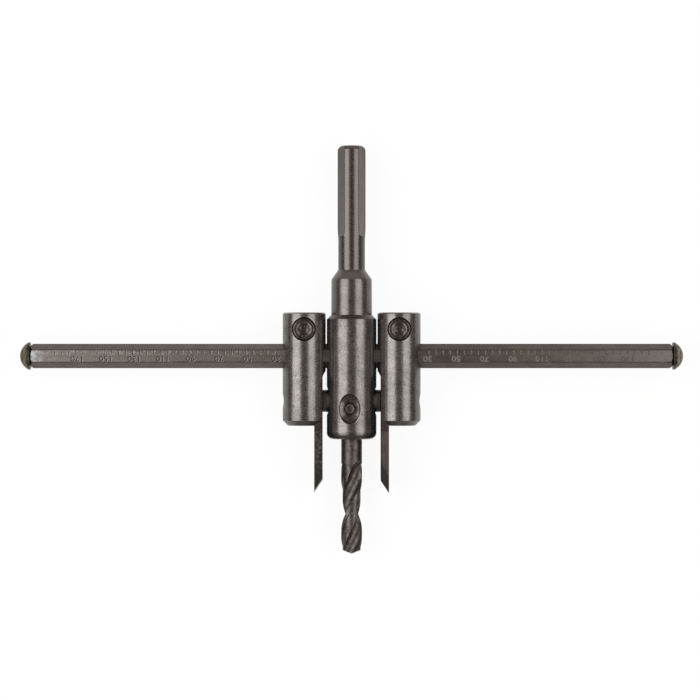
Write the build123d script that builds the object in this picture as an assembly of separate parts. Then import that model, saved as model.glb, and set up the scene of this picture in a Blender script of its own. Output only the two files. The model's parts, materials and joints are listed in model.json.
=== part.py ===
from build123d import *

import math
import os

# Adjustable hole saw, sizes in millimetres. Every piece is drawn round the point where the
# spindle axis crosses the bar: X along the bar, Y up the spindle to the shank, Z to the
# side of the clamp screws. The tool lies on its back, so it is moved to the table at the end.

# Running gap round a turning or sliding shaft
RUNNING_GAP = 0.05
# Gap between curved faces that never touch
OPEN_GAP = 0.3

# Arbor: shank, collar and body
NECK_R = 4.75
SHANK_BOTTOM = 30.5
NECK_TOP = 41.0
NECK_ROUNDING = 1.5
SHANK_R = 4.95
SHANK_TAPER = 4.0
SHANK_TOP = 74.5
SHANK_ROUNDING = 2.0
FLAT_DISTANCE = 4.19
FLAT_START = 0.9
FLAT_RUNOUT = 1.2
COLLAR_TOP = 27.1
COLLAR_TOP_R = 7.18
COLLAR_BASE_R = 7.25
BODY_R = 8.8
BODY_TOP = 14.5
BODY_CHAMFER = 1.5
BODY_BOTTOM = -29.4
BODY_ROUNDING = 2.2

# Hexagonal bar and its end stops
BAR_ACROSS_FLATS = 7.5
BAR_HALF_LENGTH = 113.85
BAR_END_CHAMFER = 1.0
STOP_R = 4.85
STOP_RIM = 0.6
STOP_LENGTH = 3.65
STOP_STEM_R = 2.5
STOP_STEM_LENGTH = 8.0

# Carriages
CARRIAGE_R = 7.65
CARRIAGE_TOP = 15.35
CARRIAGE_BOTTOM = -24.6
CARRIAGE_TOP_CHAMFER = 0.45
CARRIAGE_BOTTOM_CHAMFER = 1.8
CARRIAGE_GAP = 0.35
SLIT_WIDTH = 1.2

# Clamp screws in the carriages
CLAMP_Y = 9.45
SCREW_R = 2.5
HEAD_R = 3.95
CLAMP_HEAD_TOP = 7.1
CLAMP_HEAD_HEIGHT = 3.8
CLAMP_END = -6.4
SOCKET_ACROSS_FLATS = 4.0
SOCKET_DEPTH = 2.4
HEAD_CHAMFER = 0.35

# Blades and the screws that hold them
BLADE_INNER = 10.3
BLADE_THICKNESS = 2.9
BLADE_WIDTH = 10.0
BLADE_TOP = -5.2
BLADE_TIP = -48.2
BLADE_BEVEL_HEIGHT = 4.1
BLADE_EDGE_LAND = 0.15
BLADE_RELIEF = 1.0
BLADE_SCREW_Y = -15.9
BLADE_HEAD_HEIGHT = 3.0
BLADE_SCREW_LENGTH = 11.0
RECESS_MOUTH_R = 5.2
RECESS_MOUTH_DEPTH = 1.0
RECESS_FLOOR_GAP = 0.7

# Pilot drill
DRILL_R = 3.7
DRILL_TOP = -7.5
DRILL_TIP = -70.1
DRILL_POINT_HALF_ANGLE = 67.5
FLUTE_PITCH = 40.8
FLUTE_FACES_SIDE_AT = -56.6
FLUTE_CUTTER_R = 2.83
FLUTE_CUTTER_DISTANCE = 3.45
LAND_R = 3.18
MARGIN_ANGLE = 20.0
RELIEF_TOP = -38.2
FLUTE_TOP = -43.6
FLUTE_WHEEL_R = 10.0
FLUTE_WHEEL_TILT = 20.0
DRILL_FLAT_LENGTH = 13.5
DRILL_FLAT_DEPTH = 0.55
DRILL_CHAMFER = 0.5

# Set screw that grips the pilot drill, at the foot of a drilled spot in the body's front
SET_SCREW_R = 2.0
SET_SCREW_Y = -18.6
SET_SCREW_LENGTH = 3.0
SET_TURN = -5.0
SET_TIP_R = 1.2
SET_SOCKET_ACROSS_FLATS = 2.0
SET_SOCKET_DEPTH = 1.6
SET_EDGE_CHAMFER = 0.25
SET_SPOT_APEX = 5.65
SET_SPOT_HALF_ANGLE = 60.0

# Places that follow from the sizes above
CARRIAGE_X = BODY_R + CARRIAGE_GAP + CARRIAGE_R
BLADE_OUTER = BLADE_INNER + BLADE_THICKNESS
HEX_CORNER_R = BAR_ACROSS_FLATS / math.sqrt(3)
DRILL_FLAT_Z = DRILL_R - DRILL_FLAT_DEPTH
SET_TIP = DRILL_FLAT_Z + RUNNING_GAP
SET_FACE = SET_TIP + SET_SCREW_LENGTH
SHIFT_Y = -(SHANK_TOP + DRILL_TIP) / 2


def ring_profile(points, axis=Axis.Y):
    """Turn a closed outline round an axis."""
    return revolve(make_face(Polyline(*points, close=True)), axis)


def hex_prism(across_flats, length, plane):
    """Make a hexagonal prism along the plane's normal, starting on the plane."""
    outline = RegularPolygon(across_flats / 2, 6, major_radius=False, rotation=30)
    return extrude(plane * outline, length)


def bar_prism(across_flats, half_length):
    """Make a hexagonal prism along X with flats to the front and back."""
    plane = Plane(origin=(-half_length, 0, 0), x_dir=(0, 1, 0), z_dir=(1, 0, 0))
    outline = RegularPolygon(across_flats / math.sqrt(3), 6)
    return extrude(plane * outline, 2 * half_length)


def rod(radius, start, direction, length):
    """Make a round rod from a start point along a direction."""
    plane = Plane(origin=start, z_dir=direction)
    return extrude(plane * Circle(radius), length)


def set_screw_plane(along):
    """Plane across the set screw's axis, at a distance from the spindle axis."""
    turn = math.radians(SET_TURN)
    direction = Vector(math.sin(turn), 0, math.cos(turn))
    origin = Vector(0, SET_SCREW_Y, 0) + direction * along
    return Plane(origin=origin, x_dir=(0, 1, 0), z_dir=direction)


def make_arbor():
    """Turn the shank, collar and body as one piece, then cut its holes and flats."""
    shank = make_face(
        Polyline(
            (0, BODY_TOP),
            (COLLAR_BASE_R, BODY_TOP),
            (COLLAR_TOP_R, COLLAR_TOP),
            (NECK_R, SHANK_BOTTOM),
            (NECK_R, NECK_TOP),
            (SHANK_R, NECK_TOP + SHANK_TAPER),
            (SHANK_R, SHANK_TOP),
            (0, SHANK_TOP),
            close=True,
        )
    )
    rim = shank.vertices().filter_by(lambda v: v.X > SHANK_R / 2 and v.Y > SHANK_TOP - 1)
    shank = fillet(rim, min(SHANK_ROUNDING, SHANK_R - 1))
    shoulders = shank.vertices().filter_by(lambda v: v.X > 1 and COLLAR_TOP - 1 < v.Y < SHANK_BOTTOM + 1)
    shank = fillet(shoulders, NECK_ROUNDING)
    body = make_face(
        Polyline(
            (0, BODY_BOTTOM),
            (BODY_R, BODY_BOTTOM),
            (BODY_R, BODY_TOP - BODY_CHAMFER),
            (BODY_R - BODY_CHAMFER, BODY_TOP),
            (0, BODY_TOP),
            close=True,
        )
    )
    corner = body.vertices().filter_by(lambda v: v.X > BODY_R / 2 and v.Y < BODY_BOTTOM + 1)
    body = fillet(corner, BODY_ROUNDING)
    arbor = revolve(shank, Axis.Y) + revolve(body, Axis.Y)

    flat_cut = make_face(
        Polyline(
            (FLAT_DISTANCE, SHANK_TOP + 1),
            (FLAT_DISTANCE, NECK_TOP + FLAT_START + FLAT_RUNOUT),
            (SHANK_R, NECK_TOP + FLAT_START),
            (2 * SHANK_R, NECK_TOP + FLAT_START),
            (2 * SHANK_R, SHANK_TOP + 1),
            close=True,
        )
    )
    flat_cut = extrude(flat_cut, SHANK_R, both=True)
    for angle in (90, 210, 330):
        arbor -= Rot(0, angle, 0) * flat_cut

    arbor -= bar_prism(BAR_ACROSS_FLATS, 2 * BODY_R)
    bore_depth = DRILL_TOP - BODY_BOTTOM
    arbor -= rod(DRILL_R + RUNNING_GAP, (0, BODY_BOTTOM, 0), (0, 1, 0), bore_depth)
    arbor -= extrude(set_screw_plane(0) * Circle(SET_SCREW_R + RUNNING_GAP), 2 * BODY_R)
    spot_top = SET_SPOT_APEX + BODY_R / math.tan(math.radians(SET_SPOT_HALF_ANGLE))
    spot = ring_profile([(0, SET_SPOT_APEX), (BODY_R, spot_top), (0, spot_top)])
    arbor -= set_screw_plane(0).location * Rot(90, 0, 0) * spot
    recess_floor = BLADE_INNER - BLADE_HEAD_HEIGHT - RECESS_FLOOR_GAP
    recess_r = HEAD_R + OPEN_GAP
    slope = (RECESS_MOUTH_R - recess_r) / RECESS_MOUTH_DEPTH
    recess = ring_profile(
        [
            (recess_floor, 0),
            (recess_floor, recess_r),
            (BODY_R - RECESS_MOUTH_DEPTH, recess_r),
            (BODY_R + RECESS_MOUTH_DEPTH, recess_r + 2 * RECESS_MOUTH_DEPTH * slope),
            (BODY_R + RECESS_MOUTH_DEPTH, 0),
        ],
        Axis.X,
    )
    recess = Pos(0, BLADE_SCREW_Y, 0) * recess
    for turn in (0, 180):
        arbor -= Rot(0, turn, 0) * recess
    return arbor


def make_bar():
    """Cut the hexagonal bar to length, chamfer its ends and drill them for the stops."""
    bar = bar_prism(BAR_ACROSS_FLATS, BAR_HALF_LENGTH)
    chamfer_r = HEX_CORNER_R - BAR_END_CHAMFER
    envelope = ring_profile(
        [
            (-BAR_HALF_LENGTH, 0),
            (-BAR_HALF_LENGTH, chamfer_r),
            (-BAR_HALF_LENGTH + 2 * BAR_END_CHAMFER, HEX_CORNER_R + BAR_END_CHAMFER),
            (BAR_HALF_LENGTH - 2 * BAR_END_CHAMFER, HEX_CORNER_R + BAR_END_CHAMFER),
            (BAR_HALF_LENGTH, chamfer_r),
            (BAR_HALF_LENGTH, 0),
        ],
        Axis.X,
    )
    bar = bar & envelope
    for side in (-1, 1):
        start = (side * (BAR_HALF_LENGTH - STOP_STEM_LENGTH), 0, 0)
        bar -= rod(STOP_STEM_R, start, (side, 0, 0), 2 * STOP_STEM_LENGTH)
    return bar


def make_end_stop(side):
    """Turn a domed stop with a stem that is pressed into the bar's end."""
    dome_height = STOP_LENGTH - STOP_RIM
    sphere_r = (STOP_R**2 + dome_height**2) / (2 * dome_height)
    dome_centre = BAR_HALF_LENGTH + STOP_LENGTH - sphere_r
    outline = Pos(BAR_HALF_LENGTH + STOP_LENGTH / 2, STOP_R / 2) * Rectangle(STOP_LENGTH, STOP_R)
    outline = outline & Pos(dome_centre, 0) * Circle(sphere_r)
    stem = Rectangle(STOP_STEM_LENGTH, STOP_STEM_R)
    outline += Pos(BAR_HALF_LENGTH - STOP_STEM_LENGTH / 2, STOP_STEM_R / 2) * stem
    stop = revolve(outline, Axis.X)
    if side < 0:
        stop = Rot(0, 180, 0) * stop
    return stop


def make_carriage(side):
    """Turn a carriage, then cut the bar hole, clamp slit, screw holes and blade slot."""
    centre = side * CARRIAGE_X
    outline = [
        (0, CARRIAGE_BOTTOM),
        (CARRIAGE_R - CARRIAGE_BOTTOM_CHAMFER, CARRIAGE_BOTTOM),
        (CARRIAGE_R, CARRIAGE_BOTTOM + CARRIAGE_BOTTOM_CHAMFER),
        (CARRIAGE_R, CARRIAGE_TOP - CARRIAGE_TOP_CHAMFER),
        (CARRIAGE_R - CARRIAGE_TOP_CHAMFER, CARRIAGE_TOP),
        (0, CARRIAGE_TOP),
    ]
    carriage = Pos(centre, 0, 0) * ring_profile(outline)
    carriage -= bar_prism(BAR_ACROSS_FLATS + 2 * RUNNING_GAP, 2 * CARRIAGE_X)
    carriage -= Pos(centre, CARRIAGE_TOP / 2 + 1, 0) * Box(3 * CARRIAGE_R, CARRIAGE_TOP + 2, SLIT_WIDTH)

    seat = CLAMP_HEAD_TOP - CLAMP_HEAD_HEIGHT
    carriage -= rod(HEAD_R + OPEN_GAP, (centre, CLAMP_Y, seat), (0, 0, 1), CARRIAGE_R)
    carriage -= rod(SCREW_R + RUNNING_GAP, (centre, CLAMP_Y, -CARRIAGE_R - 1), (0, 0, 1), 2 * CARRIAGE_R)

    slot_r = BLADE_WIDTH / 2
    slot_plane = Plane(origin=(side * BLADE_OUTER, 0, 0), x_dir=(0, 1, 0), z_dir=(-side, 0, 0))
    slot = Pos(BLADE_TOP - slot_r, 0) * Circle(slot_r)
    slot_length = BLADE_TOP - slot_r - CARRIAGE_BOTTOM + 1
    slot += Pos(BLADE_TOP - slot_r - slot_length / 2, 0) * Rectangle(slot_length, BLADE_WIDTH)
    carriage -= extrude(slot_plane * slot, CARRIAGE_R)
    thread_start = (side * BLADE_INNER, BLADE_SCREW_Y, 0)
    carriage -= rod(SCREW_R + RUNNING_GAP, thread_start, (side, 0, 0), 3 * CARRIAGE_R)
    return carriage


def make_clamp_screw(side):
    """Turn a cap screw whose head sits in the carriage's front."""
    centre = side * CARRIAGE_X
    seat = CLAMP_HEAD_TOP - CLAMP_HEAD_HEIGHT
    plane = Plane(origin=(centre, CLAMP_Y, seat), z_dir=(0, 0, 1))
    return cap_screw(plane, CLAMP_HEAD_HEIGHT, seat - CLAMP_END)


def cap_screw(plane, head_height, shank_length):
    """Make a screw whose head stands on the plane and whose shank goes below it."""
    screw = ring_profile(
        [
            (0, -shank_length),
            (SCREW_R - HEAD_CHAMFER, -shank_length),
            (SCREW_R, -shank_length + HEAD_CHAMFER),
            (SCREW_R, 0),
            (HEAD_R, 0),
            (HEAD_R, head_height - HEAD_CHAMFER),
            (HEAD_R - HEAD_CHAMFER, head_height),
            (0, head_height),
        ]
    )
    screw = plane.location * Rot(90, 0, 0) * screw
    socket = hex_prism(SOCKET_ACROSS_FLATS, -SOCKET_DEPTH, plane.offset(head_height))
    return screw - socket


def make_blade_screw(side):
    """Turn the screw that holds a blade in its slot."""
    plane = Plane(origin=(side * BLADE_INNER, BLADE_SCREW_Y, 0), x_dir=(0, 1, 0), z_dir=(-side, 0, 0))
    return cap_screw(plane, BLADE_HEAD_HEIGHT, BLADE_SCREW_LENGTH)


def make_blade(side):
    """Grind a flat blade with a round top, a screw hole, a bevel and a relieved edge."""
    half = BLADE_WIDTH / 2
    face = Pos(0, BLADE_TOP - half) * Circle(half)
    straight = BLADE_TOP - half - BLADE_TIP
    face += Pos(0, BLADE_TIP + straight / 2) * Rectangle(BLADE_WIDTH, straight)
    plane = Plane(origin=(BLADE_INNER, 0, 0), x_dir=(0, 0, -1), z_dir=(1, 0, 0))
    blade = extrude(plane * face, BLADE_THICKNESS)
    hole_start = (BLADE_INNER - BLADE_THICKNESS, BLADE_SCREW_Y, 0)
    blade -= rod(SCREW_R + RUNNING_GAP, hole_start, (1, 0, 0), 3 * BLADE_THICKNESS)

    bevel = make_face(
        Polyline(
            (BLADE_INNER, BLADE_TIP + BLADE_BEVEL_HEIGHT),
            (BLADE_OUTER - BLADE_EDGE_LAND, BLADE_TIP),
            (BLADE_OUTER, BLADE_TIP - BLADE_RELIEF),
            (BLADE_INNER - BLADE_THICKNESS, BLADE_TIP - BLADE_RELIEF),
            (BLADE_INNER - BLADE_THICKNESS, BLADE_TIP + 2 * BLADE_BEVEL_HEIGHT),
            close=True,
        )
    )
    lean = math.degrees(math.atan2(BLADE_RELIEF, BLADE_WIDTH))
    cutter = extrude(bevel, 2 * BLADE_WIDTH, both=True)
    cutter = Pos(0, 0, half) * Pos(0, BLADE_TIP, 0) * Rot(lean, 0, 0) * Pos(0, -BLADE_TIP, 0) * cutter
    blade -= cutter
    if side < 0:
        blade = Rot(0, 180, 0) * blade
    return blade


def twisted(section, start, end):
    """Draw a section of the drill along the spindle from start to end, twisted like the flutes."""
    turn = 360 * (start - FLUTE_FACES_SIDE_AT) / FLUTE_PITCH
    twist = 360 * (end - start) / FLUTE_PITCH
    plane = Plane(origin=(0, start, 0), x_dir=(1, 0, 0), z_dir=(0, 1, 0))
    face = (plane * Rot(0, 0, turn) * section).face()
    return Solid.extrude_linear_with_rotation(face, (0, start, 0), (0, end - start, 0), twist)


def land_section():
    """Cross-section of the drill above its flutes: two relieved lands, each with a margin."""
    section = Circle(LAND_R)
    reach = DRILL_R**2 + FLUTE_CUTTER_DISTANCE**2 - FLUTE_CUTTER_R**2
    edge = math.degrees(math.acos(reach / (2 * DRILL_R * FLUTE_CUTTER_DISTANCE)))
    for start in (edge - 5, edge + 175):
        first = math.radians(start)
        last = math.radians(start + MARGIN_ANGLE + 5)
        wedge = make_face(
            Polyline(
                (0, 0),
                (2 * DRILL_R * math.cos(first), 2 * DRILL_R * math.sin(first)),
                (2 * DRILL_R * math.cos(last), 2 * DRILL_R * math.sin(last)),
                close=True,
            )
        )
        section += wedge & Circle(DRILL_R)
    return section


def make_drill():
    """Twist the relieved lands and the flutes, lift the wheel out and grind the point."""
    drill = rod(DRILL_R, (0, RELIEF_TOP, 0), (0, 1, 0), DRILL_TOP - RELIEF_TOP)
    drill = chamfer(drill.edges().group_by(Axis.Y)[-1], DRILL_CHAMFER)
    drill += twisted(land_section(), FLUTE_TOP, RELIEF_TOP)
    ring_r = FLUTE_WHEEL_R - FLUTE_CUTTER_R
    wheel = Rot(-FLUTE_WHEEL_TILT, 0, 0) * Torus(ring_r, FLUTE_CUTTER_R)
    wheel = Pos(FLUTE_CUTTER_DISTANCE + ring_r, 0, 0) * wheel
    turn = 360 * (FLUTE_TOP - FLUTE_FACES_SIDE_AT) / FLUTE_PITCH
    section = land_section()
    for side in (0, 180):
        drill -= Pos(0, FLUTE_TOP, 0) * Rot(0, side + turn, 0) * wheel
        section -= Rot(0, 0, side) * Pos(FLUTE_CUTTER_DISTANCE, 0) * Circle(FLUTE_CUTTER_R)
    drill += twisted(section, DRILL_TIP - 1, FLUTE_TOP)

    point_height = 2 * DRILL_R / math.tan(math.radians(DRILL_POINT_HALF_ANGLE))
    pencil = ring_profile(
        [
            (0, DRILL_TIP),
            (2 * DRILL_R, DRILL_TIP + point_height),
            (2 * DRILL_R, DRILL_TOP + 1),
            (0, DRILL_TOP + 1),
        ]
    )
    drill = drill & pencil
    flat = Pos(0, DRILL_TOP, DRILL_FLAT_Z + DRILL_R / 2) * Box(2 * DRILL_R, 2 * DRILL_FLAT_LENGTH, DRILL_R)
    return drill - Rot(0, SET_TURN, 0) * flat


def make_pilot_screw():
    """Turn the set screw, with a blunt cone point and a socket for the key."""
    outline = [
        (0, SET_TIP),
        (SET_TIP_R, SET_TIP),
        (SET_SCREW_R, SET_TIP + SET_SCREW_R - SET_TIP_R),
        (SET_SCREW_R, SET_FACE - SET_EDGE_CHAMFER),
        (SET_SCREW_R - SET_EDGE_CHAMFER, SET_FACE),
        (0, SET_FACE),
    ]
    screw = Rot(90, 0, 0) * ring_profile(outline)
    screw = set_screw_plane(0).location * screw
    socket = hex_prism(SET_SOCKET_ACROSS_FLATS, -SET_SOCKET_DEPTH, set_screw_plane(SET_FACE))
    return screw - socket


def write(name, shape):
    """Lay a piece on the table, with the tool's box centred over the origin, and save it."""
    placed = Pos(0, SHIFT_Y, BODY_R) * shape
    export_step(placed, "parts/" + name + ".step")


os.makedirs("parts", exist_ok=True)
write("arbor", make_arbor())
write("hex_bar", make_bar())
write("pilot_drill", make_drill())
write("pilot_screw", make_pilot_screw())
for label, side in (("left", -1), ("right", 1)):
    write("end_stop_" + label, make_end_stop(side))
    write("carriage_" + label, make_carriage(side))
    write("clamp_screw_" + label, make_clamp_screw(side))
    write("blade_" + label, make_blade(side))
    write("blade_screw_" + label, make_blade_screw(side))
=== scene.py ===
import json
import math

import bmesh
import bpy
from mathutils import Matrix, Vector


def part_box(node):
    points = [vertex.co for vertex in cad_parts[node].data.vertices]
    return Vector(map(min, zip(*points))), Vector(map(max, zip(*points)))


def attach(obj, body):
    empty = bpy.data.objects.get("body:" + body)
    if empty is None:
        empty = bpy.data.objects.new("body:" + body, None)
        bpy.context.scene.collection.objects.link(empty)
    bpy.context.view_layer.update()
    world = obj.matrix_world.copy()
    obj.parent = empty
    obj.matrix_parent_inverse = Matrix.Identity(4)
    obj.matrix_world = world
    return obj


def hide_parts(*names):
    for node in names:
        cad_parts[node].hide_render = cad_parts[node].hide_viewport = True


# Looks of the adjustable hole saw. It lies on its back on a white table, the bar along X and
# the shank towards +Y, and the camera looks straight down on it. Lengths below are in metres
# for the camera, table and lamps, and in millimetres for the saw, where MM turns them into
# metres. Colours are linear.

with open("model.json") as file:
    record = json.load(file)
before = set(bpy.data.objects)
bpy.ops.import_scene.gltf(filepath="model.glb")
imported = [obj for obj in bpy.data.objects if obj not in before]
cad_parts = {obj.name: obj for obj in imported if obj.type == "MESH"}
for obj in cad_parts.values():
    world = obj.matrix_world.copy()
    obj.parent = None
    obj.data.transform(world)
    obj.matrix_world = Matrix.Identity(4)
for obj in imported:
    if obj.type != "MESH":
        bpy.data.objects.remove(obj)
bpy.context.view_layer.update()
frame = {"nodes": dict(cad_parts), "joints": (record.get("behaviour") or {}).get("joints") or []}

MM = 0.001
WHITE = (1.0, 1.0, 1.0)

# Camera
PIXEL = 0.3545 * MM
PHOTO_SIZE = 700
SAW_CENTRE_PX = (351.6, 356.0)
CAMERA_HEIGHT = 0.95
SENSOR_WIDTH = 36.0
NEAREST_SEEN = 0.01

# Table
TABLE_SIZE = 3.0
TABLE_COLOUR = (0.9, 0.9, 0.9)
TABLE_ROUGHNESS = 0.9
TABLE_GLOW = 0.93
REFLECTED_NEAR = (0.87, 0.86, 0.85)
REFLECTED_FAR = (0.3, 0.27, 0.25)
NEAR_ENDS = 0.04
FAR_STARTS = 0.13
NEAR_STRETCH = 0.65

# Lamps and room, with angles in degrees
LAMP_DISTANCE = 0.8
LAMP_LENGTH = 1.3
LEFT_TILT = -42.5
LEFT_SPREAD = 21.5
LEFT_RADIANCE = 2.85
RIGHT_TILT = 41.0
RIGHT_SPREAD = 18.5
RIGHT_RADIANCE = 2.35
ROOM_WALLS = (0.13, 0.101, 0.081)
ROOM_ENDS = (0.42, 0.40, 0.38)
WALLS_END = 0.45
ENDS_START = 0.8

# Grain of the steel, with noise scales per metre
BLOTCH_SCALE = 220.0
PIT_SCALE = 1700.0
NICK_SCALE = 1000.0
WEAR_AND_SHADE_SCALE = 700.0
GRAIN_DEPTH = 0.008
PIT_DEPTH = 0.022
BUMP_STRENGTH = 0.5

# Worn edges, and the bar's dark edges of painted shade, told from faces by the cosine of the
# angle that rounding turns a surface by
WEAR_AND_SHADE_EDGE_R = 0.35
FACE_COSINE = 0.99
EDGE_COSINE = 0.88
BRIGHT_EDGE = (0.42, 0.40, 0.38)
DARK_EDGE_SHADE = (0.03, 0.024, 0.02)

# Colours of the bar
BAR_BLACK = (0.132, 0.113, 0.101)
BAR_BARE_DARK = (0.19, 0.167, 0.155)
BAR_BARE_LIGHT = (0.29, 0.263, 0.25)
BAR_SHADED = (0.06, 0.048, 0.042)
BAR_GAP_SHADE = (0.022, 0.019, 0.019)
BAR_BURR = (0.42, 0.4, 0.37)
BAR_TIP = (0.52, 0.51, 0.54)
BAR_RIM_SHADE = (0.035, 0.022, 0.018)

# Fades on the bar, each from none to full: along X, and then across it from its middle
LEFT_RUB = (-20, -115)
RIGHT_RUB = (75, 112)
SHADE_START = (18, 24)
SHADE_END = (85, 40)
BETWEEN_CARRIAGES = (14.5, 11.5)
BURRS_START = (-20, -30)
TIP_START = (-108.5, -113.5)
FRONT_FLAT = (2.2, 1.9)
BURR_ROW = (0.2, 0.7)
RIM_INSIDE = (1.85, 2.15)
RIM_OUTSIDE = (2.45, 2.2)

# Colours of the arbor
ARBOR_BLACK = (0.172, 0.159, 0.149)
ARBOR_COLLAR = (0.138, 0.125, 0.119)
ARBOR_CONE = (0.25, 0.218, 0.208)
ARBOR_SHANK = (0.118, 0.101, 0.096)
ARBOR_FOOT_SHADE = (0.06, 0.05, 0.046)
ARBOR_SHOULDER_SHADE = (0.05, 0.036, 0.03)
GROUND_DARK = (0.155, 0.132, 0.126)
GROUND_LIGHT = (0.235, 0.204, 0.195)
GROUND_LEFT = (0.085, 0.066, 0.06)
SPOT_DARK = (0.042, 0.031, 0.029)
SPOT_LIGHT = (0.105, 0.084, 0.079)
SPOT_RIM = (0.018, 0.012, 0.011)
SPOT_POOL = (0.03, 0.024, 0.024)

# Fades on the arbor, each from none to full, along Y
COLLAR_START = (12.3, 12.6)
CONE_START = (24.9, 25.1)
CONE_END = (27.6, 27.0)
SHANK_START = (27.8, 29)
FLATS_START = (39, 41)
SHOULDER_START = (10.6, 10.9)
SHOULDER_END = (12.4, 12.25)
FOOT_START = (-28.9, -29.7)

# Fades on the arbor across X, and from its axis
CONE_FRONT = (4.4, 2.6)
LEFT_FLAT = (-1.0, -2.5)
LEFT_WALL = (-2.6, -3.0)
RIGHT_WALL_INSIDE = (1.6, 2.0)
RIGHT_WALL_OUTSIDE = (3.1, 2.7)
FLAT_REACH = (4.74, 4.6)
WALL_REACH = (8.46, 8.36)
RIM_REACH = (8.36, 8.46)
SPOT_REACH = (8.77, 8.7)
SPOT_DEPTH = (3.0, 3.5)

# Fades in the drilled spot, from the set screw: along Y, and then all round
SPOT_LENGTH = (5.9, 5.8)
WALL_LENGTH = (2.8, 1.8)
POOL_REACH = (2.8, 2.4)

# Colours of the carriages and end stops, and the stops' edges and turning marks
CARRIAGE_BLACK = (0.182, 0.170, 0.161)
CARRIAGE_FOOT_SHADE = (0.08, 0.068, 0.06)
CARRIAGE_HEAD = (0.34, 0.32, 0.3)
STOP_DARK = (0.09, 0.076, 0.055)
STOP_PLATING = (0.2, 0.172, 0.115)
STOP_LIGHT = (0.32, 0.29, 0.21)
STOP_GLINT = (0.62, 0.58, 0.5)
STOP_LEFT_DARKENING = (0.07, 0.055, 0.03)
STOP_FOOT_SHADE = (0.03, 0.028, 0.034)
STOP_EDGE = (0.34, 0.32, 0.25)
STOP_EDGE_R = 0.4
STOP_TURNING_DEPTH = 0.02

# Fades on the carriages along Y, and on the end stops along X and beside the bar's middle
CARRIAGE_FOOT_START = (-24, -26.5)
CARRIAGE_HEAD_START = (12.6, 12.8)
STOP_FOOT_START = (114.9, 114.3)
STOP_DARKENING_START = (50, -50)
GLINT_START = (114.8, 115.3)
GLINT_END = (116.1, 115.7)
GLINT_WIDTH = (2.9, 1.7)

# Colours of the blades, drill and screws
ROUGH_BLADE = (0.058, 0.048, 0.041)
ROUGH_VEIN = (0.19, 0.168, 0.152)
GROUND_BLADE = (0.12, 0.094, 0.086)
GROUND_STREAK = (0.155, 0.122, 0.118)
BLADE_INNER = (0.035, 0.029, 0.025)
BLADE_END = (0.031, 0.027, 0.022)
DRILL_BLACK = (0.096, 0.081, 0.077)
CLAMP_SCREW_BLACK = (0.095, 0.082, 0.074)
BLADE_SCREW_BLACK = (0.075, 0.066, 0.06)
SET_SCREW_BLACK = (0.1, 0.086, 0.08)

# Fades on the blades along X and Y. The right one's end slants, so X counts there by the slant
LEFT_INNER = (-10.85, -10.65)
RIGHT_INNER = (10.95, 10.65)
LEFT_END = (-40.5, -42.5)
RIGHT_END = (-18.2, -19.4)
RIGHT_SLANT = 2.0
CARRIAGE_SHADE = (-29.2, -28.6)

# Colours of the marks on the left arm and on the right one
BURR_AND_HIGHLIGHT_LEFT = (0.5, 0.47, 0.44)
BURR_RIGHT = (0.13, 0.115, 0.105)
MARK_LEFT = (0.045, 0.036, 0.032)
MARK_RIGHT = (0.24, 0.215, 0.2)
MARK_FADED = (0.1, 0.085, 0.076)
MARK_GRIME = (0.05, 0.04, 0.035)

# Fades of the marks along X: from the left arm's tones to the right one's, and to the faded end
ARM_CHANGE = (-10, 10)
FADED_START = (60, 85)

# Screws
SEGMENTS = 96
SHARP_ANGLE = 28
THREAD_STEPS = 6
CAP_TIP_R = 1.9
CAP_NECK_R = 2.2
CAP_THREAD_R = 2.48
CAP_THREAD_DEPTH = 0.35
CAP_THREAD_PITCH = 0.8
CAP_SOCKET = 4.0
CAP_SOCKET_DEPTH = 1.9
CAP_SOCKET_DISH = 0.38
CLAMP_HEAD_HEIGHT = 3.8
CLAMP_MOUTH_R = 2.65
BLADE_HEAD_HEIGHT = 3.0
BLADE_MOUTH_R = 2.6
SET_LENGTH = 3.0
SET_POINT_R = 1.2
SET_THREAD_R = 1.97
SET_THREAD_DEPTH = 0.25
SET_THREAD_PITCH = 0.7
SET_SOCKET = 2.0
SET_SOCKET_DEPTH = 1.3
SET_SOCKET_DISH = 0.2
SET_MOUTH_R = 1.25
MOUTH_ROWS = 8
MOUTH_ROW_STEP = 0.025

# Scale on the bar
MARK_THICKNESS = 0.03
MARK_LIFT = 0.015
BURR_AND_HIGHLIGHT_LIFT = 0.008
BURR_AND_HIGHLIGHT_SHIFT = 0.17
TICK_FIRST = 27.3
TICK_SPACING = 2.5
TICK_COUNT = 32
TICK_LENGTH = 1.55
TICK_WIDTH = 0.3
TICK_INSET = 0.1
NUMBER_FIRST = 26.8
NUMBER_SPACING = 10.05
NUMBER_COUNT = 8
NUMBER_HEIGHT = 2.05
NUMBER_WIDENING = 1.15
NUMBER_BOLDNESS = 0.03
NUMBER_DROP = 1.0
SMALLEST_DIAMETER = 30
DIAMETER_STEP = 20


def centre(node):
    """Middle of a CAD node's box at rest."""
    low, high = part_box(node)
    return (Vector(low) + Vector(high)) / 2


def joint(name):
    """A joint of the record, by name."""
    return next(entry for entry in frame["joints"] if entry["name"] == name)


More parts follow.
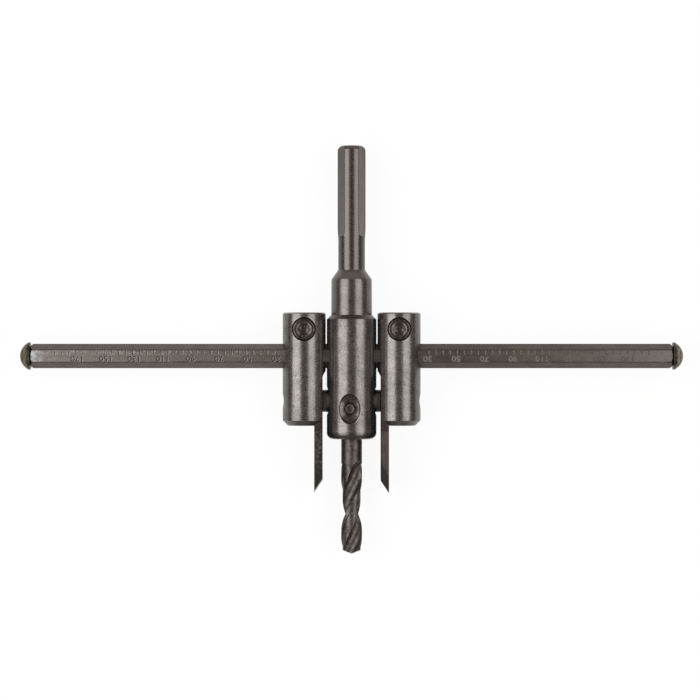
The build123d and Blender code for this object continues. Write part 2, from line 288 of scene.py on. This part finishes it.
class NodeTree:
    """Adds and links the nodes of one material or world."""

    def __init__(self, owner, coordinates):
        owner.use_nodes = True
        self.tree = owner.node_tree
        self.place = self.tree.nodes.new("ShaderNodeTexCoord").outputs[coordinates]

    def add(self, kind, **inputs):
        """Add a node and set its inputs by name."""
        node = self.tree.nodes.new(kind)
        for key, value in inputs.items():
            node.inputs[key].default_value = value
        return node

    def link(self, source, target):
        self.tree.links.new(source, target)

    def feed(self, socket, value):
        """Give a socket a number, a colour or the result of another node."""
        if isinstance(value, float):
            socket.default_value = value
        elif isinstance(value, tuple):
            socket.default_value = (*value, 1.0)
        else:
            self.link(value, socket)

    def stretched(self, stretch):
        """Coordinates stretched along the axes."""
        mapping = self.add("ShaderNodeMapping", Scale=stretch)
        self.link(self.place, mapping.inputs["Vector"])
        return mapping.outputs["Vector"]

    def noise(self, scale, detail=3.0, roughness=0.6, stretch=(1, 1, 1)):
        """Noise from 0 to 1. Its streaks are longest along the axis that is stretched least."""
        noise = self.add("ShaderNodeTexNoise", Scale=scale, Detail=detail, Roughness=roughness)
        self.link(self.stretched(stretch), noise.inputs["Vector"])
        return noise.outputs["Fac"]

    def calculate(self, operation, first, second=0.0):
        """Result of one operation on two values, each a number or from a node."""
        node = self.add("ShaderNodeMath")
        node.operation = operation
        self.feed(node.inputs[0], first)
        self.feed(node.inputs[1], second)
        return node.outputs["Value"]

    def product(self, first, *others):
        """Values multiplied together."""
        for other in others:
            first = self.calculate("MULTIPLY", first, other)
        return first

    def length(self, first, second):
        """Length of the diagonal of two distances at right angles."""
        squares = self.calculate("ADD", self.product(first, first), self.product(second, second))
        return self.calculate("POWER", squares, 0.5)

    def along(self, axis, start=0.0):
        """Place along one axis, from a start, in the units of the coordinates."""
        parts = self.add("ShaderNodeSeparateXYZ")
        self.link(self.place, parts.inputs["Vector"])
        return self.calculate("SUBTRACT", parts.outputs[axis], start)

    def distance(self, axis, start=0.0):
        """Distance to either side of a start, along one axis."""
        return self.calculate("ABSOLUTE", self.along(axis, start))

    def spread(self, source, start, end, low=0.0, high=1.0):
        """Map start..end to low..high, held at both ends."""
        spread = self.add("ShaderNodeMapRange")
        for key, value in (("From Min", start), ("From Max", end), ("To Min", low), ("To Max", high)):
            spread.inputs[key].default_value = value
        self.link(source, spread.inputs["Value"])
        return spread.outputs["Result"]

    def fade(self, place, ends, share=1.0):
        """Share that grows from nothing at one place to the whole at another, both in
        millimetres."""
        start, end = ends
        return self.spread(place, start * MM, end * MM, 0.0, share)

    def ramp(self, source, *stops):
        """Colour ramp from (position, colour) pairs."""
        ramp = self.add("ShaderNodeValToRGB")
        elements = ramp.color_ramp.elements
        while len(elements) < len(stops):
            elements.new(0.5)
        for element, (position, colour) in zip(elements, stops):
            element.position = position
            element.color = (*colour, 1.0)
        self.link(source, ramp.inputs["Fac"])
        return ramp.outputs["Color"]

    def mix(self, share, first, second):
        """Blend from one colour to another by a share. The node has its colours on inputs 6 and
        7 and on output 2."""
        mix = self.add("ShaderNodeMix")
        mix.data_type = "RGBA"
        self.link(share, mix.inputs["Factor"])
        self.feed(mix.inputs[6], first)
        self.feed(mix.inputs[7], second)
        return mix.outputs[2]

    def edges(self, radius):
        """Share that is 1 on sharp edges and 0 on faces, for edges rounded to a radius."""
        rounded = self.add("ShaderNodeBevel", Radius=radius * MM)
        rounded.samples = 6
        plain = self.add("ShaderNodeNewGeometry")
        turn = self.add("ShaderNodeVectorMath")
        turn.operation = "DOT_PRODUCT"
        self.link(rounded.outputs["Normal"], turn.inputs[0])
        self.link(plain.outputs["Normal"], turn.inputs[1])
        return self.spread(turn.outputs["Value"], FACE_COSINE, EDGE_COSINE)

    def bump(self, height, depth, below=None):
        """Normal of a surface that a height shapes to a depth in millimetres, over another."""
        bump = self.add("ShaderNodeBump", Strength=BUMP_STRENGTH, Distance=depth * MM)
        self.link(height, bump.inputs["Height"])
        if below is not None:
            self.link(below, bump.inputs["Normal"])
        return bump.outputs["Normal"]


class Shading(NodeTree):
    """The nodes of one material, over the coordinates of the saw."""

    def __init__(self, name):
        self.material = bpy.data.materials.new(name)
        super().__init__(self.material, "Object")
        self.shader = self.tree.nodes["Principled BSDF"]
        self.output = self.tree.nodes["Material Output"]

    def surface(self, key, value):
        """Give an input of the shader a number, a colour or the result of a node."""
        self.feed(self.shader.inputs[key], value)

    def undercoat(self, colour):
        """Make this the surface's colour so far."""
        self.colour = colour
        self.surface("Base Color", colour)

    def cover(self, share, colour):
        """Lay a colour over the surface's own, by a share."""
        self.undercoat(self.mix(share, self.colour, colour))


def scaled(colour, factor):
    """A colour made darker or lighter."""
    return tuple(channel * factor for channel in colour)


def blackened_steel(name, colour, rough, grain, stretch=(1, 1, 1), speckle=0.45, wear_and_edge_shade=0.35, uneven=0.16,
                    nicked=0.0, blotch=BLOTCH_SCALE, edge_tone=BRIGHT_EDGE):
    """Blackened steel with machining grain. It is uneven in blotches, speckled with dark pits and
    bright flecks, nicked in larger spots, and worn to another tone along its edges; a dark edge
    tone there is painted shade."""
    shading = Shading(name)
    darker = scaled(colour, 1 - uneven)
    lighter = scaled(colour, 1 + uneven)
    shading.undercoat(shading.ramp(shading.noise(blotch), (0.32, darker), (0.68, lighter)))
    pits = shading.noise(PIT_SCALE, detail=2.5, roughness=0.7)
    shading.cover(shading.spread(pits, 0.30, 0.46, speckle, 0.0), scaled(colour, 0.35))
    shading.cover(shading.spread(pits, 0.60, 0.72, 0.0, speckle), scaled(colour, 1.9))
    nicks = shading.noise(NICK_SCALE, detail=1.0, stretch=(1, 0.6, 1))
    shading.cover(shading.spread(nicks, 0.34, 0.27, 0.0, nicked), scaled(colour, 0.3))
    shading.cover(shading.spread(nicks, 0.7, 0.78, 0.0, nicked * 0.6), scaled(colour, 1.8))
    wear_and_shade_patches = shading.spread(shading.noise(WEAR_AND_SHADE_SCALE), 0.42, 0.62, 0.0, wear_and_edge_shade)
    shading.cover(shading.product(shading.edges(WEAR_AND_SHADE_EDGE_R), wear_and_shade_patches), edge_tone)
    machining = shading.noise(grain, detail=2.0, stretch=stretch)
    shading.surface("Metallic", 0.9)
    shading.surface("Roughness", shading.spread(machining, 0.3, 0.7, rough - 0.05, rough + 0.07))
    shading.surface("Normal", shading.bump(pits, PIT_DEPTH, shading.bump(machining, GRAIN_DEPTH)))
    return shading


def bar_steel():
    """Drawn bar: rubbed bare towards its ends, with painted shade right of the middle, between the
    carriages and along its edges, and burred and nicked towards the left end."""
    # Its dark edge tone is painted shade along the bar's corners.
    shading = blackened_steel("bar_steel", BAR_BLACK, rough=0.45, grain=900.0, stretch=(0.1, 1, 1),
                              speckle=0.5, wear_and_edge_shade=1.2, edge_tone=DARK_EDGE_SHADE)
    place = shading.along("X")
    upward = shading.along("Y", centre("hex_bar").y)
    beside = shading.calculate("ABSOLUTE", upward)
    front = shading.fade(beside, FRONT_FLAT)
    scratches = shading.noise(2300.0, detail=2.0, stretch=(0.4, 1, 1))
    bare = shading.ramp(scratches, (0.35, BAR_BARE_DARK), (0.65, BAR_BARE_LIGHT))
    left_rub = shading.product(shading.fade(place, LEFT_RUB), shading.spread(front, 0.0, 1.0, 0.35, 0.8))
    shading.cover(left_rub, bare)
    shade = shading.product(shading.fade(place, SHADE_START, 0.5), shading.fade(place, SHADE_END))
    shading.cover(shade, BAR_SHADED)
    right_rub = shading.product(shading.fade(place, RIGHT_RUB, 0.55), shading.spread(front, 0.0, 1.0, 0.5))
    shading.cover(right_rub, bare)
    # Painted shade on the bar between the carriages and the arbor, where they shade it.
    painted_gap_shade = shading.fade(shading.distance("X"), BETWEEN_CARRIAGES, 0.55)
    shading.cover(painted_gap_shade, BAR_GAP_SHADE)
    burrs = shading.spread(shading.noise(1900.0, detail=2.0, stretch=(1, 0.6, 1)), 0.54, 0.64)
    ticks = shading.product(shading.fade(upward, BURR_ROW), shading.fade(place, BURRS_START, 0.6))
    shading.cover(shading.product(burrs, ticks, front), BAR_BURR)
    nicks = shading.spread(shading.noise(520.0, detail=2.0), 0.42, 0.6, 0.15, 1.0)
    tip = shading.fade(place, TIP_START, 1.3)
    shading.cover(shading.product(tip, front, nicks), BAR_TIP)
    # Painted shade in patches along the edges of the front flat.
    rim_shade_patches = shading.spread(shading.noise(600.0), 0.35, 0.5, 0.35, 0.8)
    rim = shading.product(shading.fade(beside, RIM_INSIDE), shading.fade(beside, RIM_OUTSIDE))
    shading.cover(shading.product(rim, rim_shade_patches), BAR_RIM_SHADE)
    return shading.material


def arbor_steel():
    """Turned arbor: a pale cone, a dark shank with ground flats, painted shade on the shoulder and on
    the rounded bottom end, and an oily drilled spot with painted highlights on its side walls."""
    shading = blackened_steel("arbor_steel", ARBOR_BLACK, rough=0.26, grain=1500.0,
                              stretch=(0.5, 1.6, 0.5), speckle=0.6, uneven=0.22, nicked=0.7)
    up = shading.along("Y")
    shading.cover(shading.fade(up, COLLAR_START, 0.55), ARBOR_COLLAR)
    front = shading.fade(shading.distance("X"), CONE_FRONT)
    cone = shading.product(shading.fade(up, CONE_START, 0.5), shading.fade(up, CONE_END), front)
    shading.cover(cone, ARBOR_CONE)
    shading.cover(shading.fade(up, SHANK_START, 0.85), ARBOR_SHANK)
    # Painted shade on the rounded bottom end of the arbor.
    shading.cover(shading.fade(up, FOOT_START, 0.68), ARBOR_FOOT_SHADE)
    across = shading.along("X")
    depth = shading.along("Z", centre("arbor").z)
    reach = shading.length(across, depth)
    grind_flats(shading, up, across, reach)
    # Painted shade on the shoulder at the foot of the collar.
    shoulder_shade = shading.product(shading.fade(up, SHOULDER_START, 0.6), shading.fade(up, SHOULDER_END))
    shading.cover(shoulder_shade, ARBOR_SHOULDER_SHADE)
    oil_spot(shading, up, across, depth, reach)
    return shading.material


def grind_flats(shading, up, across, reach):
    """Streaks along the three flats of the shank, which lie nearer to its axis than its round."""
    ground = shading.product(shading.fade(reach, FLAT_REACH), shading.fade(up, FLATS_START, 0.9))
    grinding = shading.noise(1300.0, detail=2.0, stretch=(1, 0.06, 1))
    streaks = shading.ramp(grinding, (0.35, GROUND_DARK), (0.65, GROUND_LIGHT))
    left_flat = shading.fade(across, LEFT_FLAT, 0.35)
    shading.cover(ground, shading.mix(left_flat, streaks, GROUND_LEFT))


def oil_spot(shading, up, across, depth, reach):
    """Oil in the drilled spot in the front of the arbor, left off a patch on each of its side walls,
    where the lighter steel is a painted highlight, and pooled round the set screw."""
    screw = Vector(joint("pilot_screw_turn")["pos_m"])
    beside = shading.distance("Y", screw.y)
    spot = shading.product(shading.fade(reach, SPOT_REACH), shading.fade(beside, SPOT_LENGTH),
                           shading.fade(depth, SPOT_DEPTH))
    # Painted highlights on the side walls, where the oil is left off.
    left_wall = shading.fade(across, LEFT_WALL, 0.35)
    right_wall = shading.product(shading.fade(across, RIGHT_WALL_INSIDE, 0.95),
                                 shading.fade(across, RIGHT_WALL_OUTSIDE))
    walls = shading.calculate("ADD", left_wall, right_wall)
    wall_highlights = shading.product(walls, shading.fade(beside, WALL_LENGTH), shading.fade(reach, WALL_REACH))
    oily = shading.product(spot, shading.spread(wall_highlights, 0.0, 1.0, 0.9, 0.0))
    grime = shading.ramp(shading.noise(1100.0), (0.38, SPOT_DARK), (0.62, SPOT_LIGHT))
    rim = shading.fade(reach, RIM_REACH, 0.9)
    shading.cover(oily, shading.mix(rim, grime, SPOT_RIM))
    from_screw = shading.length(shading.along("X", screw.x), shading.calculate("SUBTRACT", up, screw.y))
    shading.cover(shading.product(spot, shading.fade(from_screw, POOL_REACH, 0.8)), SPOT_POOL)


def carriage_steel():
    """Turned carriage with painted shade on its foot and a pale upper end."""
    shading = blackened_steel("carriage_steel", CARRIAGE_BLACK, rough=0.26, grain=1500.0,
                              stretch=(0.5, 1.6, 0.5), speckle=0.58, uneven=0.2, nicked=0.65)
    up = shading.along("Y")
    # Painted shade on the foot of the carriage.
    shading.cover(shading.fade(up, CARRIAGE_FOOT_START, 0.5), CARRIAGE_FOOT_SHADE)
    shading.cover(shading.fade(up, CARRIAGE_HEAD_START, 0.5), CARRIAGE_HEAD)
    return shading.material


def end_metal():
    """Turned end stop with a worn yellow-green plating, a painted highlight across its front near the
    bar, painted shade round its foot, and darker at the left end of the bar."""
    shading = Shading("end_metal")
    wear = shading.noise(520.0, detail=3.0)
    shading.undercoat(shading.ramp(wear, (0.35, STOP_DARK), (0.5, STOP_PLATING), (0.62, STOP_LIGHT)))
    outward = shading.distance("X")
    beside = shading.distance("Y", centre("hex_bar").y)
    # Painted highlight: a glint across the stop's front near the bar.
    painted_glint = shading.product(shading.fade(outward, GLINT_START), shading.fade(outward, GLINT_END),
                               shading.fade(beside, GLINT_WIDTH, 0.85))
    shading.cover(painted_glint, STOP_GLINT)
    # Darker towards the left end of the bar.
    shading.cover(shading.fade(shading.along("X"), STOP_DARKENING_START, 0.42), STOP_LEFT_DARKENING)
    # Painted shade round the foot of the stop, next to the bar.
    shading.cover(shading.fade(outward, STOP_FOOT_START, 0.75), STOP_FOOT_SHADE)
    shading.cover(shading.product(shading.edges(STOP_EDGE_R), 0.4), STOP_EDGE)
    turning = shading.noise(1500.0, detail=2.0, stretch=(2, 1, 1))
    shading.surface("Metallic", 0.9)
    shading.surface("Roughness", shading.spread(turning, 0.3, 0.7, 0.2, 0.34))
    shading.surface("Normal", shading.bump(turning, STOP_TURNING_DEPTH))
    return shading.material


def rough_blade_steel():
    """Left blade: coarse, with light veins and a dark end."""
    shading = blackened_steel("blade_steel_left", ROUGH_BLADE, rough=0.42, grain=1300.0,
                              stretch=(1, 2, 1), speckle=0.9, wear_and_edge_shade=1.0, uneven=0.5, blotch=900.0)
    veins = shading.spread(shading.noise(1500.0, stretch=(1, 0.7, 1)), 0.5, 0.62, 0.0, 0.8)
    shading.cover(veins, ROUGH_VEIN)
    inner = shading.fade(shading.along("X"), LEFT_INNER, 0.6)
    dark_end = shading.fade(shading.along("Y"), LEFT_END, 0.7)
    return darkened_blade(shading, inner, dark_end)


def ground_blade_steel():
    """Right blade: ground in fine streaks, and dark towards its slanted end."""
    shading = blackened_steel("blade_steel_right", GROUND_BLADE, rough=0.4, grain=1300.0,
                              stretch=(6, 0.4, 1), speckle=0.5, wear_and_edge_shade=0.5, uneven=0.2)
    streaks = shading.spread(shading.noise(1500.0, stretch=(1, 0.05, 1)), 0.4, 0.6, 0.0, 0.6)
    shading.cover(streaks, GROUND_STREAK)
    inner = shading.fade(shading.along("X"), RIGHT_INNER, 0.6)
    slant = shading.product(shading.along("X"), RIGHT_SLANT)
    dark_end = shading.fade(shading.calculate("ADD", shading.along("Y"), slant), RIGHT_END, 0.75)
    return darkened_blade(shading, inner, dark_end)


def darkened_blade(shading, inner, dark_end):
    """Blade's steel, darker on its inner side, at its end and where the carriage shades it."""
    shading.cover(inner, BLADE_INNER)
    shaded = shading.fade(shading.along("Y"), CARRIAGE_SHADE, 0.55)
    shading.cover(shading.calculate("MAXIMUM", dark_end, shaded), BLADE_END)
    return shading.material


def mark_ink(name, left, right):
    """Bottom of an engraved mark, or its burr, which on the left arm is also a painted highlight, of
    one tone on the left arm and another on the right, faded towards the right end."""
    shading = Shading(name)
    grime = shading.noise(1800.0)
    place = shading.along("X")
    shading.undercoat(left)
    shading.cover(shading.fade(place, ARM_CHANGE), right)
    shading.cover(shading.fade(place, FADED_START, 0.75), MARK_FADED)
    shading.cover(shading.spread(grime, 0.35, 0.65, 0.45, 0.0), MARK_GRIME)
    shading.surface("Metallic", 0.8)
    shading.surface("Roughness", shading.spread(grime, 0.3, 0.7, 0.45, 0.65))
    return shading.material


def paint(node, material):
    """Give a CAD node one material."""
    mesh = frame["nodes"][node].data
    mesh.materials.clear()
    mesh.materials.append(material)


def new_piece(name, mesh, material, body):
    """Put a finished mesh in the scene, riding on a body."""
    mesh.materials.append(material)
    piece = bpy.data.objects.new(name, mesh)
    bpy.context.scene.collection.objects.link(piece)
    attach(piece, body)
    return piece


def turned_mesh(name, rows, place):
    """Mesh turned round Z from rows of (radius, height), both ends closed. A radius may be a
    function of the angle and height."""
    vertices = []
    for radius, height in rows:
        for step in range(SEGMENTS):
            angle = 2 * math.pi * step / SEGMENTS
            reach = radius(angle, height) if callable(radius) else radius
            vertices.append(Vector((reach * math.cos(angle), reach * math.sin(angle), height)))
    faces = []
    for row in range(len(rows) - 1):
        for step in range(SEGMENTS):
            after = (step + 1) % SEGMENTS
            first = row * SEGMENTS
            second = first + SEGMENTS
            faces.append((first + step, first + after, second + after, second + step))
    for row in (0, len(rows) - 1):
        middle = len(vertices)
        vertices.append(Vector((0, 0, rows[row][1])))
        for step in range(SEGMENTS):
            after = (step + 1) % SEGMENTS
            corner = (row * SEGMENTS + step, row * SEGMENTS + after)
            faces.append((middle, *(reversed(corner) if row == 0 else corner)))
    mesh = bpy.data.meshes.new(name)
    mesh.from_pydata([place @ (vertex * MM) for vertex in vertices], [], faces)
    for polygon in mesh.polygons:
        polygon.use_smooth = True
    mesh.set_sharp_from_angle(angle=math.radians(SHARP_ANGLE))
    return mesh


def hexagon_reach(angle, across_flats):
    """Distance from a hexagon's centre to its side, at an angle."""
    sixth = math.pi / 3
    return across_flats / 2 / math.cos((angle % sixth) - sixth / 2)


def socket_rows(face, across_flats, depth, mouth_r, dish):
    """Rows of a hexagon socket with a countersunk mouth and a dished foot."""

    def countersunk(angle, height):
        cone = mouth_r - 2 * (face - height)
        return max(hexagon_reach(angle, across_flats), cone)

    def straight(angle, height):
        return hexagon_reach(angle, across_flats)

    half = across_flats / 2
    foot = face - depth
    rows = [(countersunk, face - MOUTH_ROW_STEP * half * step) for step in range(MOUTH_ROWS)]
    rows += [(straight, foot), (half * 0.97, foot)]
    rows += [(half * 0.5, foot - dish), (half * 0.1, foot - dish)]
    return rows


def thread_rows(start, end, crest_r, depth, pitch):
    """Rows of a right-hand thread from one height to another, fading out at both ends."""
    count = max(2, round((end - start) / pitch * THREAD_STEPS))

    def ridge(angle, height):
        turns = height / pitch - angle / (2 * math.pi)
        wave = abs(2 * (turns % 1) - 1)
        fade = max(0, min(1, (height - start) / pitch, (end - height) / pitch))
        return crest_r - depth * (1 - wave) * fade - 0.25 * depth * (1 - fade)

    return [(ridge, start + (end - start) * step / count) for step in range(count + 1)]


def cap_screw_rows(head_r, head_height, shank_length):
    """Rows of a cap screw with its seat at height 0, from the shank's end up to the socket."""
    rows = [(CAP_TIP_R, -shank_length), (2.35, -shank_length + 0.4)]
    rows += thread_rows(-shank_length + 0.5, -0.7, CAP_THREAD_R, CAP_THREAD_DEPTH, CAP_THREAD_PITCH)
    rows += [(CAP_NECK_R, -0.5), (CAP_NECK_R, -0.2), (CAP_THREAD_R, 0.0)]
    rows += [(head_r - 0.25, 0.0), (head_r, 0.2)]
    rows += [(head_r, head_height - 0.6), (head_r - 0.1, head_height - 0.3)]
    rows += [(head_r - 0.3, head_height - 0.08), (head_r - 0.55, head_height)]
    return rows


def make_screw(node, rows, place, material):
    """Turned screw in place of its CAD node."""
    name = node.replace("screw", "screw_detail")
    piece = new_piece(name, turned_mesh(name, rows, place), material, node)
    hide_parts(node)


def make_cap_screw(node, turn, head_height, mouth_r, material):
    """Cap screw as long and as wide as its CAD node. Its head faces +Z, turned about Y by an
    angle."""
    low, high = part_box(node)
    size = (Vector(high) - Vector(low)) / MM
    length = max(size)
    head_r = min(size) / 2
    spin = Matrix.Rotation(turn, 4, "Y")
    seat = spin @ Vector((0, 0, (length / 2 - head_height) * MM))
    rows = cap_screw_rows(head_r, head_height, length - head_height)
    rows += socket_rows(head_height, CAP_SOCKET, CAP_SOCKET_DEPTH, mouth_r, CAP_SOCKET_DISH)
    make_screw(node, rows, Matrix.Translation(centre(node) + seat) @ spin, material)


def make_set_screw(node, material):
    """Set screw at the foot of the drilled spot in the front of the arbor."""
    turn = joint(node + "_turn")
    out = Vector(turn["axis"]).normalized()
    across = Vector((0, 1, 0))
    columns = Matrix((across, out.cross(across), out)).transposed().to_4x4()
    rows = [(0.7, -SET_LENGTH), (SET_POINT_R, -SET_LENGTH), (1.9, -SET_LENGTH + 0.7)]
    rows += thread_rows(-SET_LENGTH + 0.75, -0.3, SET_THREAD_R, SET_THREAD_DEPTH, SET_THREAD_PITCH)
    rows += [(1.9, -0.22), (1.75, -0.05), (1.65, 0.0)]
    rows += socket_rows(0.0, SET_SOCKET, SET_SOCKET_DEPTH, SET_MOUTH_R, SET_SOCKET_DISH)
    make_screw(node, rows, Matrix.Translation(Vector(turn["pos_m"])) @ columns, material)


def text_mesh(text):
    """Flat raised figures, centred on the origin and upside down to the camera."""
    curve = bpy.data.curves.new("figures", "FONT")
    curve.body = text
    curve.size = NUMBER_HEIGHT * MM
    curve.offset = NUMBER_BOLDNESS * MM
    curve.extrude = MARK_THICKNESS / 2 * MM
    curve.resolution_u = 4
    holder = bpy.data.objects.new("figures", curve)
    bpy.context.scene.collection.objects.link(holder)
    mesh = bpy.data.meshes.new_from_object(holder.evaluated_get(bpy.context.evaluated_depsgraph_get()))
    bpy.data.objects.remove(holder)
    bpy.data.curves.remove(curve)
    low = Vector(map(min, zip(*(vertex.co for vertex in mesh.vertices))))
    high = Vector(map(max, zip(*(vertex.co for vertex in mesh.vertices))))
    growth = NUMBER_HEIGHT * MM / (high.y - low.y)
    turned = Matrix.Diagonal((-growth * NUMBER_WIDENING, -growth, 1, 1))
    mesh.transform(turned @ Matrix.Translation(-(low + high) / 2))
    return mesh


def add_box(build, middle, size):
    """Add a box of this size to a mesh that is being built."""
    matrix = Matrix.Translation(middle) @ Matrix.Diagonal((*size, 1))
    bmesh.ops.create_cube(build, size=1, matrix=matrix)


def make_scale(name, material, shift, lift):
    """Ticks and numbers of the diameter scale, shifted along the bar and a little down, with
    their fronts lifted off its front flat."""
    low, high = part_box("hex_bar")
    bar = centre("hex_bar")
    half_flat = (high[1] - low[1]) / 4
    tick_size = (TICK_WIDTH * MM, TICK_LENGTH * MM, MARK_THICKNESS * MM)
    tick_y = bar.y + half_flat - (TICK_INSET + TICK_LENGTH / 2) * MM
    number_y = bar.y - NUMBER_DROP * MM
    offset = Vector((shift, -shift / 2, lift - MARK_THICKNESS / 2)) * MM
    build = bmesh.new()
    for side in (-1, 1):
        for step in range(TICK_COUNT):
            x = side * (TICK_FIRST + TICK_SPACING * step) * MM
            add_box(build, Vector((x, tick_y, high[2])) + offset, tick_size)
        for step in range(NUMBER_COUNT):
            x = side * (NUMBER_FIRST + NUMBER_SPACING * step) * MM
            figures = text_mesh(str(SMALLEST_DIAMETER + DIAMETER_STEP * step))
            figures.transform(Matrix.Translation(Vector((x, number_y, high[2])) + offset))
            build.from_mesh(figures)
            bpy.data.meshes.remove(figures)
    mesh = bpy.data.meshes.new(name)
    build.to_mesh(mesh)
    build.free()
    new_piece(name, mesh, material, "spindle")


def paint_steel():
    """Materials of the CAD nodes that keep their own shape."""
    carriage = carriage_steel()
    stop = end_metal()
    for label in ("left", "right"):
        paint("carriage_" + label, carriage)
        paint("end_stop_" + label, stop)
    paint("arbor", arbor_steel())
    paint("hex_bar", bar_steel())
    paint("blade_left", rough_blade_steel())
    paint("blade_right", ground_blade_steel())
    drill = blackened_steel("drill_steel", DRILL_BLACK, rough=0.4, grain=1600.0, speckle=0.8,
                            uneven=0.45, blotch=800.0)
    paint("pilot_drill", drill.material)


def make_screws():
    """Clamp screws facing up, blade screws facing the spindle, and the drill's set screw."""
    clamp = blackened_steel("screw_steel", CLAMP_SCREW_BLACK, rough=0.28, grain=1500.0, speckle=0.9,
                            wear_and_edge_shade=0.2, uneven=0.6, blotch=1100.0).material
    blade = blackened_steel("blade_screw_steel", BLADE_SCREW_BLACK, rough=0.34, grain=1800.0).material
    oily = blackened_steel("set_screw_steel", SET_SCREW_BLACK, rough=0.5, grain=1500.0, speckle=0.6,
                           wear_and_edge_shade=0.0).material
    for label in ("left", "right"):
        make_cap_screw("clamp_screw_" + label, 0.0, CLAMP_HEAD_HEIGHT, CLAMP_MOUTH_R, clamp)
    for label, inward in (("left", math.pi / 2), ("right", -math.pi / 2)):
        make_cap_screw("blade_screw_" + label, inward, BLADE_HEAD_HEIGHT, BLADE_MOUTH_R, blade)
    make_set_screw("pilot_screw", oily)


def make_marks():
    """Scale of engraved marks, each with a burr beside it, which on the left arm is also a painted
    highlight.
    """
    # The burrs on the left arm are also painted highlights on the marks' edges.
    make_scale("scale_burrs_and_highlights", mark_ink("mark_burr_and_highlight", BURR_AND_HIGHLIGHT_LEFT, BURR_RIGHT), BURR_AND_HIGHLIGHT_SHIFT, BURR_AND_HIGHLIGHT_LIFT)
    make_scale("scale_marks", mark_ink("mark_bottom", MARK_LEFT, MARK_RIGHT), 0.0, MARK_LIFT)


def make_table():
    """Table that is white to the camera and keeps a faint shadow of the saw. Metal reflects it
    bright near the saw and dim further off."""
    mesh = bpy.data.meshes.new("table_top")
    half = TABLE_SIZE / 2
    corners = [(-half, -half, 0), (half, -half, 0), (half, half, 0), (-half, half, 0)]
    mesh.from_pydata(corners, [], [(0, 1, 2, 3)])
    table = bpy.data.objects.new("table_top", mesh)
    bpy.context.scene.collection.objects.link(table)
    shading = Shading("white_table")
    shading.surface("Base Color", TABLE_COLOUR)
    shading.surface("Roughness", TABLE_ROUGHNESS)
    shading.surface("Specular IOR Level", 0.0)
    away = shading.add("ShaderNodeVectorMath")
    away.operation = "LENGTH"
    shading.link(shading.stretched((NEAR_STRETCH, 1, 1)), away.inputs[0])
    far = shading.spread(away.outputs["Value"], NEAR_ENDS, FAR_STARTS)
    reflected = shading.mix(far, REFLECTED_NEAR, REFLECTED_FAR)
    rays = shading.add("ShaderNodeLightPath")
    glow = shading.add("ShaderNodeEmission", Strength=1.0)
    shading.link(shading.mix(rays.outputs["Is Glossy Ray"], WHITE, reflected), glow.inputs["Color"])
    seen = shading.calculate("MAXIMUM", rays.outputs["Is Camera Ray"], rays.outputs["Is Glossy Ray"])
    seen = shading.calculate("MAXIMUM", seen, rays.outputs["Is Transmission Ray"])
    blend = shading.add("ShaderNodeMixShader")
    shading.link(shading.product(seen, TABLE_GLOW), blend.inputs["Fac"])
    shading.link(shading.shader.outputs["BSDF"], blend.inputs[1])
    shading.link(glow.outputs["Emission"], blend.inputs[2])
    shading.link(blend.outputs["Shader"], shading.output.inputs["Surface"])
    mesh.materials.append(shading.material)


def soft_box(name, tilt, spread, radiance):
    """Long lamp that faces the saw. Tilt is its angle from straight up, towards +X if positive,
    and spread the half angle that it fills."""
    lamp = bpy.data.lights.new(name, "AREA")
    lamp.shape = "RECTANGLE"
    lamp.size = 2 * LAMP_DISTANCE * math.tan(spread)
    lamp.size_y = LAMP_LENGTH
    lamp.energy = radiance * math.pi * lamp.size * lamp.size_y
    holder = bpy.data.objects.new(name, lamp)
    bpy.context.scene.collection.objects.link(holder)
    holder.location = centre("hex_bar") + Vector((math.sin(tilt), 0, math.cos(tilt))) * LAMP_DISTANCE
    holder.rotation_euler = (0, tilt, 0)


def make_lights():
    """A long soft box on each side of the camera, in a room that is dim and warm except towards
    the ends of the shank and drill, and white to the camera."""
    soft_box("soft_box_left", math.radians(LEFT_TILT), math.radians(LEFT_SPREAD), LEFT_RADIANCE)
    soft_box("soft_box_right", math.radians(RIGHT_TILT), math.radians(RIGHT_SPREAD), RIGHT_RADIANCE)
    world = bpy.data.worlds.new("room")
    room = NodeTree(world, "Generated")
    toward_ends = room.spread(room.distance("Y"), WALLS_END, ENDS_START)
    walls = room.mix(toward_ends, ROOM_WALLS, ROOM_ENDS)
    rays = room.add("ShaderNodeLightPath")
    seen = room.mix(rays.outputs["Is Camera Ray"], walls, WHITE)
    room.link(seen, world.node_tree.nodes["Background"].inputs["Color"])
    bpy.context.scene.world = world


def make_camera():
    """Long lens straight above the saw, framed as the photograph is."""
    camera = bpy.data.cameras.new("camera")
    camera.sensor_width = SENSOR_WIDTH
    camera.lens = SENSOR_WIDTH * CAMERA_HEIGHT / (PHOTO_SIZE * PIXEL)
    camera.clip_start = NEAREST_SEEN
    holder = bpy.data.objects.new("camera", camera)
    bpy.context.scene.collection.objects.link(holder)
    right = (PHOTO_SIZE / 2 - SAW_CENTRE_PX[0]) * PIXEL
    up = (SAW_CENTRE_PX[1] - PHOTO_SIZE / 2) * PIXEL
    holder.location = centre("hex_bar") + Vector((right, up, CAMERA_HEIGHT))
    bpy.context.scene.camera = holder


bpy.context.scene.view_settings.view_transform = "Standard"
make_camera()
make_lights()
make_table()
paint_steel()
make_screws()
make_marks()
